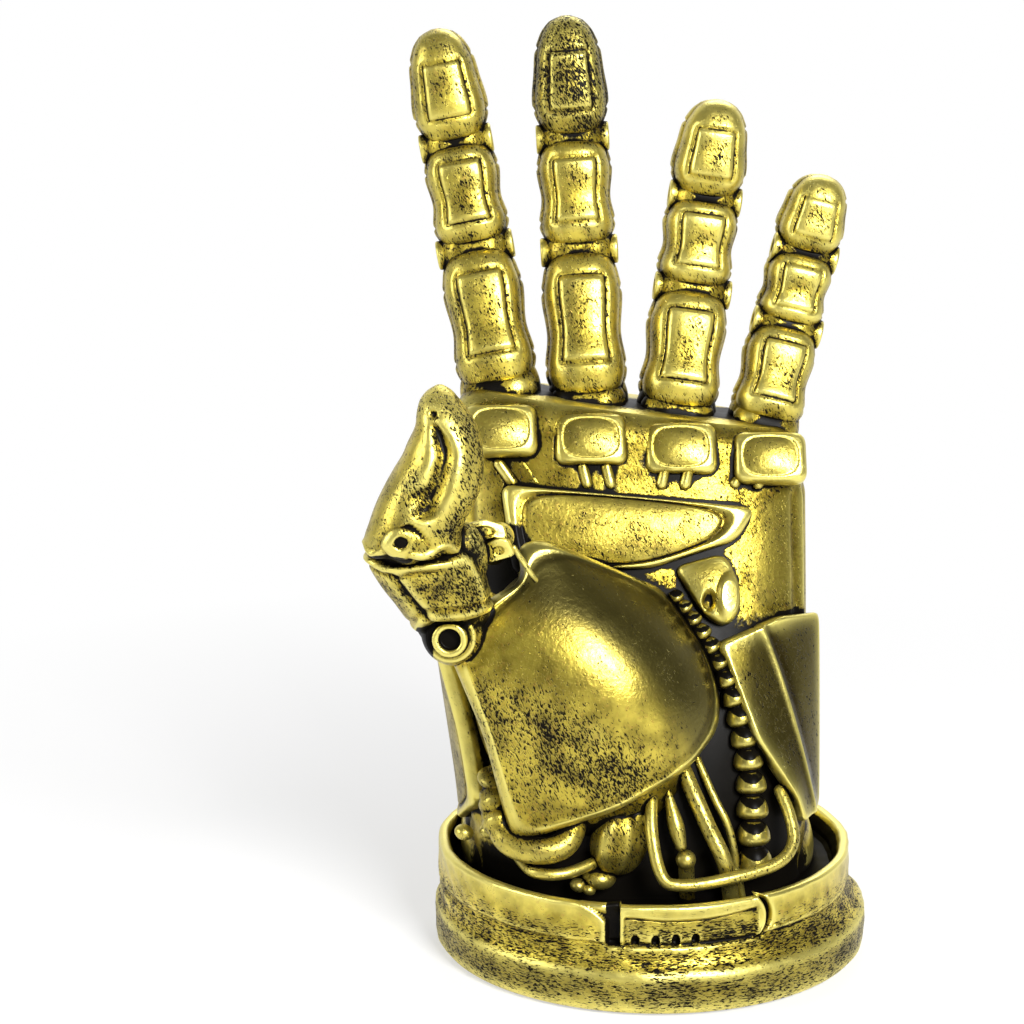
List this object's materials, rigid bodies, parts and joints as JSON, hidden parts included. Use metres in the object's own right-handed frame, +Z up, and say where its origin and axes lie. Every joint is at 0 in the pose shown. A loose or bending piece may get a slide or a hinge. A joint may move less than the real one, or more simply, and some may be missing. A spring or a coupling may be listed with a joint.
{
  "type": "game controller stand",
  "caption": "Cast stand in the form of a mechanical hand on a round base, whose thumb and fingers hold a game controller between them.",
  "frame": {"origin": "centre of the foot's flat underside, on the surface that it stands on", "axes": "+Z up along the hand, the palm and thumb face -Y, the thumb's side is -X"},
  "size_m": [0.0767, 0.073, 0.1435],
  "materials": {
    "antique_gold_resin": "antique gold paint dry-brushed over a black ground, satin"
  },
  "bodies": {
    "root": {"hand_stand": "antique_gold_resin"}
  },
  "joints": []
}
